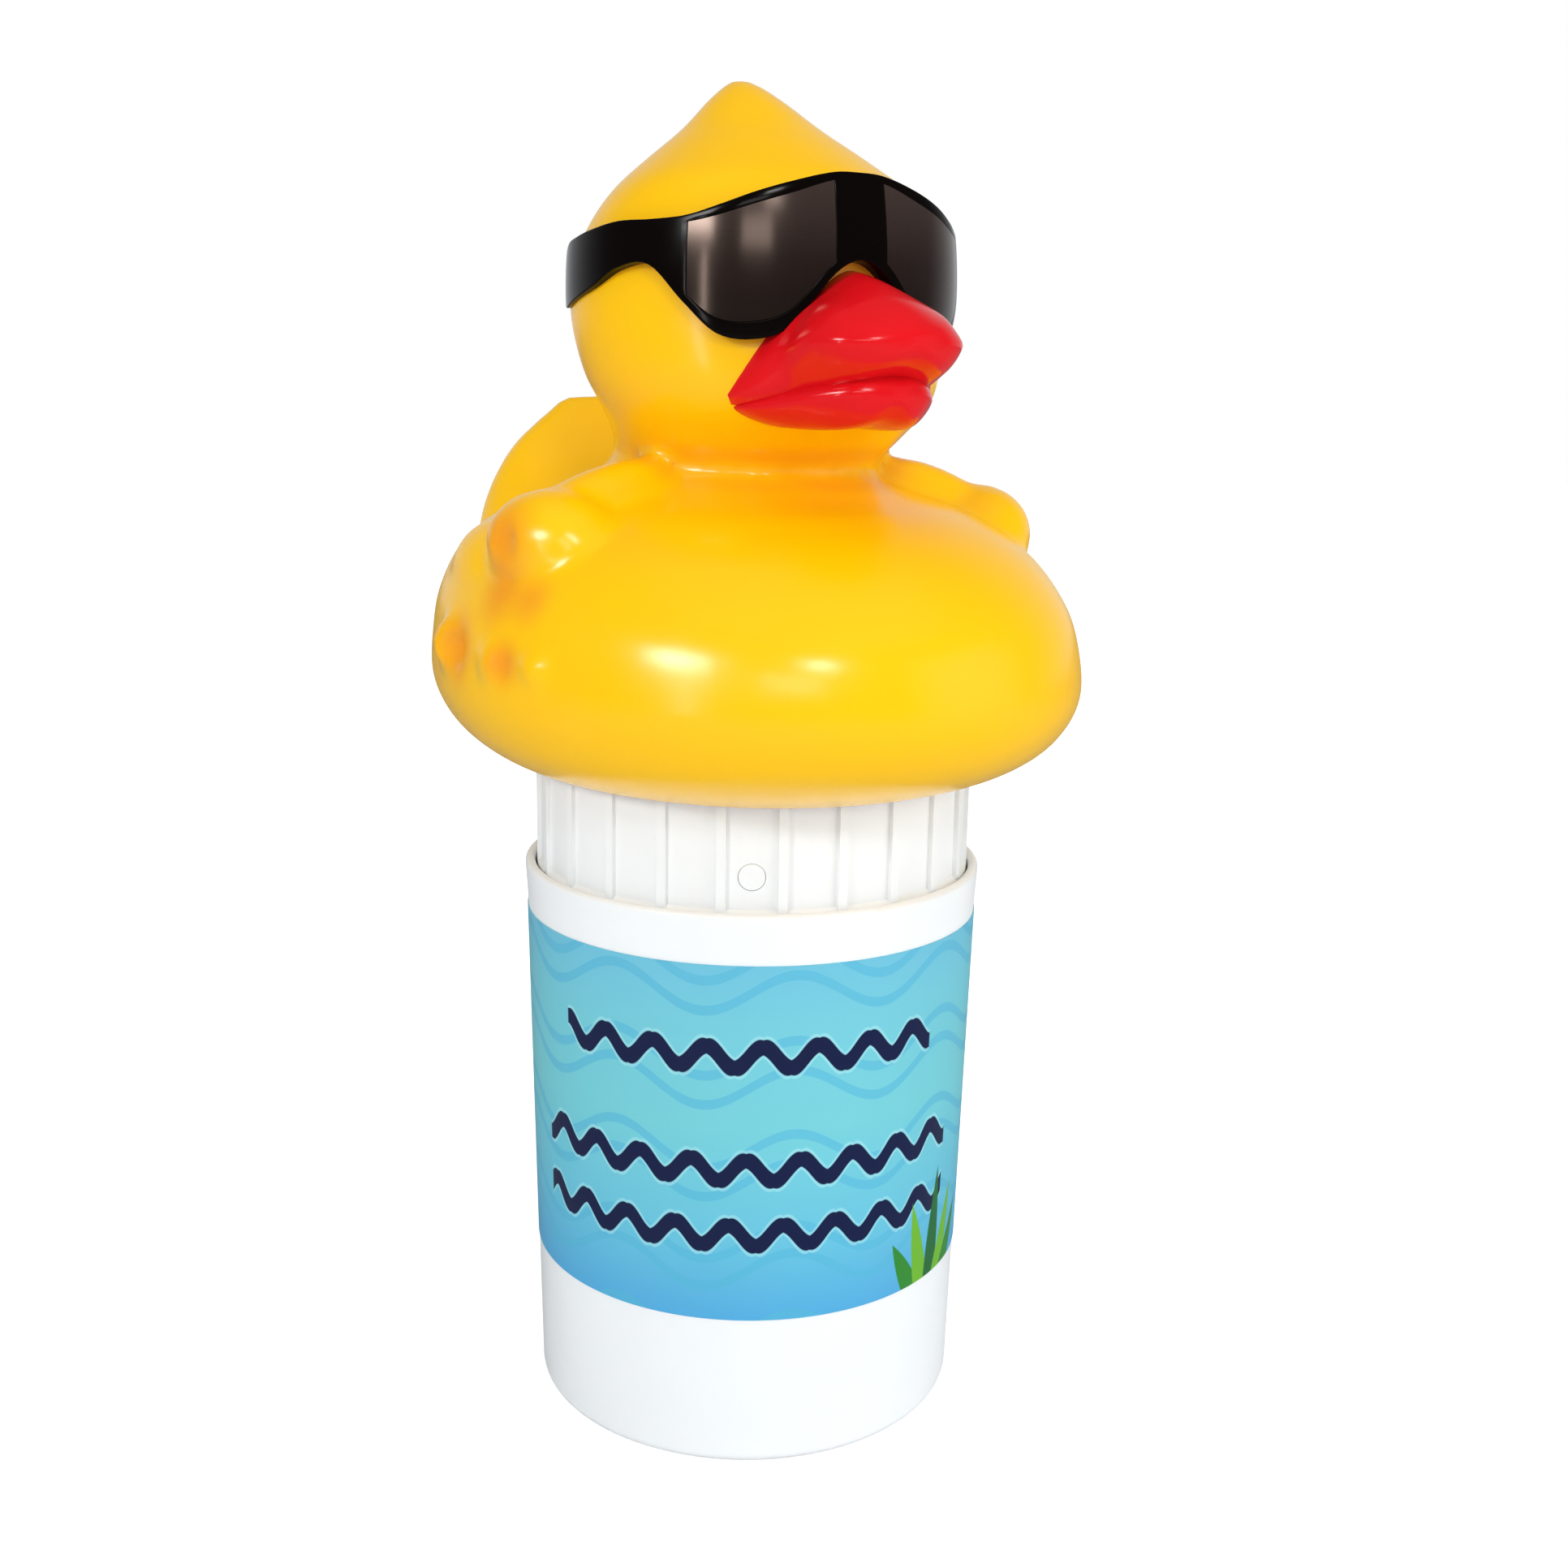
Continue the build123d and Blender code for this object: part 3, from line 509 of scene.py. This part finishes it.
# Angle from the bill, upper edge and lower edge above the belly plane, outer radius, in mm.
brow_line = [
    (-temple_end, 119.5, 111.5, 46.6), (-110, 124.6, 110.6, 46.0), (-97, 126.0, 112.2, 45.6),
    (-84, 127.2, 114.6, 45.6), (-72, 128.2, 118.2, 45.9), (-60, 128.2, 118.6, 46.2),
    (-49, 128.8, 110.6, 46.6), (-40, 130.8, 104.4, 47.0), (-30, 133.6, 103.2, 47.2),
    (-20, 136.0, 106.0, 47.0), (-8, 138.3, 117.2, 46.6), (0, 138.6, 120.3, 46.4)]
brow_line += [
    (-angle, upper_edge, lower_edge, radius)
    for angle, upper_edge, lower_edge, radius in brow_line[-2::-1]]

deselect()
columns = temple_end        # a column of faces for every two degrees
bpy.ops.mesh.primitive_grid_add(x_subdivisions=columns, y_subdivisions=24, size=2)
frame_piece = bpy.context.object
frame_piece.name = "glasses_frame"
for vertex in frame_piece.data.vertices:
    angle = vertex.co.x * temple_end
    upper_edge, lower_edge, radius = along(brow_line, angle)
    height = lower_edge + (vertex.co.y + 1) / 2 * (upper_edge - lower_edge)
    radius -= crown * ((height - widest_line) / 20) ** 2
    turn = math.radians(angle)
    vertex.co = (
        math.sin(turn) * radius / 1000, -math.cos(turn) * radius / 1000, duck_base + height / 1000)

# Each lens takes the band's faces from the bridge to its outer end, between the two rims.
bridge_end, lens_end = 8, 48    # degrees from the bill
low_rim, high_rim = 2, 22       # rows of faces
bpy.ops.object.mode_set(mode="EDIT")
bpy.ops.mesh.select_mode(type="FACE")
mesh = bmesh.from_edit_mesh(frame_piece.data)
for face in mesh.faces:
    row, column = divmod(face.index, columns)
    angle = abs(2 * column + 1 - temple_end)
    face.select_set(bridge_end < angle < lens_end and low_rim < row < high_rim)
bmesh.update_edit_mesh(frame_piece.data)
bpy.ops.mesh.separate(type="SELECTED")
bpy.ops.mesh.select_mode(type="VERT")
bpy.ops.object.mode_set(mode="OBJECT")
lens_piece = [o for o in bpy.context.selected_objects if o != frame_piece][0]
lens_piece.name = "glasses_lenses"
# The frame is deep enough for its back to lie inside the head; the lenses are thin sheets.
apply_modifier(frame_piece, "SOLIDIFY", thickness=0.009, offset=-1)
apply_modifier(
    frame_piece, "BEVEL", width=0.0007, segments=3, limit_method="ANGLE", angle_limit=0.9)
bpy.ops.object.shade_smooth()
apply_modifier(lens_piece, "SOLIDIFY", thickness=0.0016, offset=-1)
bpy.ops.object.shade_smooth_by_angle(angle=math.radians(40))

gloss_black, tree = new_material("abs_gloss_black")
# Deep black with a warm cast: nearly all of what the eye sees is its reflections.
gloss_patch = 11            # mm
place = add(tree, "ShaderNodeTexCoord")
waver = add(tree, "ShaderNodeTexNoise", {"Scale": 1000 / gloss_patch, "Detail": 2.0},
            {"Vector": place.outputs["Object"]})
rough = add(tree, "ShaderNodeMapRange", {1: 0.3, 2: 0.7, 3: 0.1, 4: 0.18},
            {0: waver.outputs["Fac"]})
shell = add(tree, "ShaderNodeBsdfPrincipled", {
    "Base Color": linear("#070403"), "IOR": 1.5, "Specular IOR Level": 0.12},
    {"Roughness": rough})
close_material(tree, shell)

smoked, tree = new_material("smoked_lens")
# Brown smoked sheet, painted darker downwards and lighter towards the top as a painted reflection,
# with a satin back coat.
sheen_low, sheen_high = 0.104, 0.136    # above the belly plane
place = add(tree, "ShaderNodeTexCoord")
apart = add(tree, "ShaderNodeSeparateXYZ", links={0: place.outputs["Object"]})
# Painted reflection: the higher a point of the lens stands, the lighter it is painted.
level = add(tree, "ShaderNodeMapRange",
            {1: duck_base + sheen_low, 2: duck_base + sheen_high, 3: 0.0, 4: 1.0},
            {0: apart.outputs["Z"]})
smoke_with_painted_sheen = add(tree, "ShaderNodeValToRGB", links={0: level})
smoke_with_painted_sheen.color_ramp.elements[0].color = linear("#0B0605")
smoke_with_painted_sheen.color_ramp.elements[1].color = linear("#372C29")
middle = smoke_with_painted_sheen.color_ramp.elements.new(0.5)
middle.color = linear("#1E1614")
shell = add(tree, "ShaderNodeBsdfPrincipled", {
    "Roughness": 0.17, "IOR": 1.5, "Specular IOR Level": 0.9,
    "Specular Tint": linear("#E2C6B6")}, {"Base Color": smoke_with_painted_sheen})
close_material(tree, shell)
for piece, finish, slot in [
    (frame_piece, gloss_black, "black_gloss"), (lens_piece, smoked, "smoked_lens"),
]:
    piece.data.materials.clear()
    piece.data.materials.append(finish)
    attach(piece, "float")
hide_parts("sunglasses_frame")
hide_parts("lens_right", "lens_left")

# ---------------------------------------------------------------- canister, collar and lock
# Injection-moulded white polypropylene: the tablet canister with its windows and dial, the
# ribbed collar that turns on it, and the spring lock. The forms are those of the model.
white, tree = new_material("moulded_polypropylene_white")
# Milky and satin: a mould's fine spark texture, with the gloss drifting slowly over the wall.
gloss_patch = 36            # mm
spark_grain = 0.7           # mm, coarser than a real mould's, which would not show
place = add(tree, "ShaderNodeTexCoord")
drift = add(tree, "ShaderNodeTexNoise", {"Scale": 1000 / gloss_patch, "Detail": 3.0},
            {"Vector": place.outputs["Object"]})
shade = add(tree, "ShaderNodeMix", {6: linear("#ECEFF1"), 7: linear("#F3F6F7")},
            {0: drift.outputs["Fac"]}, data_type="RGBA")
rough = add(tree, "ShaderNodeMapRange", {1: 0.3, 2: 0.7, 3: 0.32, 4: 0.44},
            {0: drift.outputs["Fac"]})
spark = add(tree, "ShaderNodeTexNoise", {"Scale": 1000 / spark_grain, "Detail": 3.0},
            {"Vector": place.outputs["Object"]})
spark_bump = add(tree, "ShaderNodeBump", {"Strength": 0.12, "Distance": 0.0001},
                 {"Height": spark.outputs["Fac"]})
shell = add(tree, "ShaderNodeBsdfPrincipled", {"IOR": 1.49, "Specular IOR Level": 0.35}, {
    "Base Color": shade.outputs[2], "Roughness": rough, "Normal": spark_bump})
close_material(tree, shell)

rubber, tree = new_material("seal_rubber_black")
# Nearly matt, with the dusty bloom that moulded nitrile shows.
bloom_patch = 6             # mm
place = add(tree, "ShaderNodeTexCoord")
bloom = add(tree, "ShaderNodeTexNoise", {"Scale": 1000 / bloom_patch, "Detail": 4.0},
            {"Vector": place.outputs["Object"]})
shade = add(tree, "ShaderNodeMix", {6: linear("#151515"), 7: linear("#222120")},
            {0: bloom.outputs["Fac"]}, data_type="RGBA")
rough = add(tree, "ShaderNodeMapRange", {1: 0.3, 2: 0.7, 3: 0.6, 4: 0.78},
            {0: bloom.outputs["Fac"]})
shell = add(tree, "ShaderNodeBsdfPrincipled", {"IOR": 1.5}, {
    "Base Color": shade.outputs[2], "Roughness": rough})
close_material(tree, shell)

steel, tree = new_material("stainless_steel_drawn")
# Drawn wire and turned screw: bright metal whose gloss is broken up by fine tool marks.
mark_spacing = 0.45         # mm, coarser than real tool marks, which would not show
place = add(tree, "ShaderNodeTexCoord")
marks = add(tree, "ShaderNodeTexNoise", {"Scale": 1000 / mark_spacing, "Detail": 2.0},
            {"Vector": place.outputs["Object"]})
rough = add(tree, "ShaderNodeMapRange", {1: 0.3, 2: 0.7, 3: 0.2, 4: 0.34},
            {0: marks.outputs["Fac"]})
shell = add(tree, "ShaderNodeBsdfPrincipled", {
    "Base Color": linear("#C9CACB"), "Metallic": 1.0}, {"Roughness": rough})
close_material(tree, shell)

# ---------------------------------------------------------------- label
# Printed film round the canister, turquoise water shading from deeper edges to a light middle.
# Tone-on-tone waves, bolder navy ripples and a tuft of green blades are a plain design.
film, tree = new_material("printed_label_film")
# Satin film: clean flat inks with slightly soft edges, under a gloss that drifts a little.
soft_edge = 0.12            # how far an ink's edge fades to each side, in mm


def ink(below, code, outside, cover=1.0):
    """Prints a colour over those below it. outside is how far a point lies outside the printed
    shape, in mm, and is negative within it."""
    share = add(tree, "ShaderNodeMapRange", {1: -soft_edge, 2: soft_edge, 3: cover, 4: 0.0},
                {0: outside})
    return add(tree, "ShaderNodeMix", {7: linear(code)}, {0: share, 6: below},
               data_type="RGBA").outputs[2]


# Millimetres round the label from the lock button's line, and up from the standing face.
label_front = 242           # degrees round to that line
label_radius = 56.0
label_low, label_high = [corner.z * 1000 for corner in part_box("label")]
place = add(tree, "ShaderNodeTexCoord")
turned = add(tree, "ShaderNodeMapping", {"Rotation": (0.0, 0.0, math.radians(-label_front))},
             {"Vector": place.outputs["Object"]})
apart = add(tree, "ShaderNodeSeparateXYZ", links={0: turned})
angle = add(tree, "ShaderNodeMath", operation="ARCTAN2", links={
    0: apart.outputs["Y"], 1: apart.outputs["X"]})
round_mm = add(tree, "ShaderNodeMath", {1: label_radius}, {0: angle}, operation="MULTIPLY")
up_mm = add(tree, "ShaderNodeMath", {1: 1000.0}, {0: apart.outputs["Z"]}, operation="MULTIPLY")

# Water: a wash of turquoise under slightly deeper waves that run in pairs, in millimetres.
water = add(tree, "ShaderNodeMapRange", {1: label_low, 2: label_high, 3: 0.0, 4: 1.0}, {0: up_mm})
wash = add(tree, "ShaderNodeValToRGB", links={0: water})
wash.color_ramp.elements[0].color = linear("#4EA8DA")
wash.color_ramp.elements[1].color = linear("#6BBED8")
for position, code in [(0.22, "#62BDD8"), (0.55, "#70C9D3"), (0.85, "#6FC5D5")]:
    wash.color_ramp.elements.new(position).color = linear(code)
wave_length = 43
wave_height = 4.4
wave_half_width = 1.2
wave_spacing = 23.0         # from one pair to the next
pair_middle = 9.0
pair_half_gap = 3.6
bend = add(tree, "ShaderNodeMath", {1: 2 * math.pi / wave_length}, {0: round_mm},
           operation="MULTIPLY")
wave = add(tree, "ShaderNodeMath", links={0: bend}, operation="SINE")
level = add(tree, "ShaderNodeMath", {1: -wave_height}, {0: wave, 2: up_mm},
            operation="MULTIPLY_ADD")
level = add(tree, "ShaderNodeMath", {1: wave_spacing}, {0: level}, operation="FLOORED_MODULO")
# From a pair's middle to the nearer of its lines, and from there to that line's edge.
outside = add(tree, "ShaderNodeMath", {1: pair_middle}, {0: level}, operation="SUBTRACT")
for step in (pair_half_gap, wave_half_width):
    outside = add(tree, "ShaderNodeMath", links={0: outside}, operation="ABSOLUTE")
    outside = add(tree, "ShaderNodeMath", {1: step}, {0: outside}, operation="SUBTRACT")
printed = ink(wash, "#50B2D3", outside, cover=0.65)

# Three rows of bold ripples in navy over a thin pale edge, each ending clear of the label's
# sides. A row has its height, half its span and its phase.
ripple_length = 13.0
ripple_height = 2.5
sideways = add(tree, "ShaderNodeMath", links={0: round_mm}, operation="ABSOLUTE")
for row, half_span, phase in [(105.0, 49, 0.0), (77.0, 59, 1.7), (60.5, 59, 3.6)]:
    bend = add(tree, "ShaderNodeMath", {1: 2 * math.pi / ripple_length, 2: phase},
               {0: round_mm}, operation="MULTIPLY_ADD")
    wave = add(tree, "ShaderNodeMath", links={0: bend}, operation="SINE")
    crest = add(tree, "ShaderNodeMath", {1: ripple_height, 2: row}, {0: wave},
                operation="MULTIPLY_ADD")
    off = add(tree, "ShaderNodeMath", links={0: up_mm, 1: crest}, operation="SUBTRACT")
    off = add(tree, "ShaderNodeMath", links={0: off}, operation="ABSOLUTE")
    # Heights count for less where the ripple is steep, so that its stroke keeps its width.
    slope = add(tree, "ShaderNodeMath", links={0: bend}, operation="COSINE")
    slope = add(tree, "ShaderNodeMath", links={0: slope}, operation="ABSOLUTE")
    slope = add(tree, "ShaderNodeMath", {1: 0.5, 2: 1.0}, {0: slope}, operation="MULTIPLY_ADD")
    off = add(tree, "ShaderNodeMath", links={0: off, 1: slope}, operation="DIVIDE")
    past_end = add(tree, "ShaderNodeMath", {1: half_span}, {0: sideways}, operation="SUBTRACT")
    for code, half_width, cover in [("#A9E2E8", 2.5, 0.5), ("#081744", 1.85, 1.0)]:
        outside = add(tree, "ShaderNodeMath", {1: half_width}, {0: off}, operation="SUBTRACT")
        outside = add(tree, "ShaderNodeMath", links={0: outside, 1: past_end},
                      operation="MAXIMUM")
        printed = ink(printed, code, outside, cover)

# A tuft of pointed blades fans out of the lower edge, each a slim lens on its own line. A blade
# has its place round the label, its lean in degrees, its length and its green.
blade_foot = 37.0
blade_half_width = 3.0
flat = add(tree, "ShaderNodeCombineXYZ", links={0: round_mm, 1: up_mm})
for root, lean, reach, code in [
    (47, -28, 17, "#2F8A2E"), (51, -12, 24, "#6DB52B"), (55, 4, 30, "#1F6B33"),
    (59, 17, 24, "#6DB52B"), (63, 31, 19, "#2F8A2E"),
]:
    # In the blade's own frame, one unit is its half width across and its length along.
    own = add(tree, "ShaderNodeMapping", {
        "Location": (root, blade_foot, 0.0), "Rotation": (0.0, 0.0, math.radians(-lean)),
        "Scale": (blade_half_width, reach, 1.0)}, {"Vector": flat}, vector_type="TEXTURE")
    apart = add(tree, "ShaderNodeSeparateXYZ", links={0: own})
    across = add(tree, "ShaderNodeMath", links={0: apart.outputs["X"]}, operation="ABSOLUTE")
    taper = add(tree, "ShaderNodeMath", operation="MULTIPLY", links={
        0: apart.outputs["Y"], 1: apart.outputs["Y"]})
    outside = add(tree, "ShaderNodeMath", links={0: across, 1: taper}, operation="ADD")
    outside = add(tree, "ShaderNodeMath", {1: blade_half_width, 2: -blade_half_width},
                  {0: outside}, operation="MULTIPLY_ADD")
    printed = ink(printed, code, outside)

gloss_patch = 17            # mm
gloss = add(tree, "ShaderNodeTexNoise", {"Scale": 1000 / gloss_patch, "Detail": 3.0},
            {"Vector": place.outputs["Object"]})
rough = add(tree, "ShaderNodeMapRange", {1: 0.3, 2: 0.7, 3: 0.3, 4: 0.4},
            {0: gloss.outputs["Fac"]})
ripple = add(tree, "ShaderNodeBump", {"Strength": 0.08, "Distance": 0.0003},
             {"Height": gloss.outputs["Fac"]})
shell = add(tree, "ShaderNodeBsdfPrincipled", {"IOR": 1.5, "Specular IOR Level": 0.35}, {
    "Base Color": printed, "Roughness": rough, "Normal": ripple})
close_material(tree, shell)

# Each piece of the model takes its finish; one that isn't listed is white, or is stood for
# by a piece above.
finishes = {
    "label": film, "neck_washer": rubber, "plug_seal": rubber, "lock_spring": steel,
    "dial_screw": steel, "glasses_pins": steel}
for name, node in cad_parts.items():
    node.data.materials.clear()
    node.data.materials.append(finishes.get(name, white))
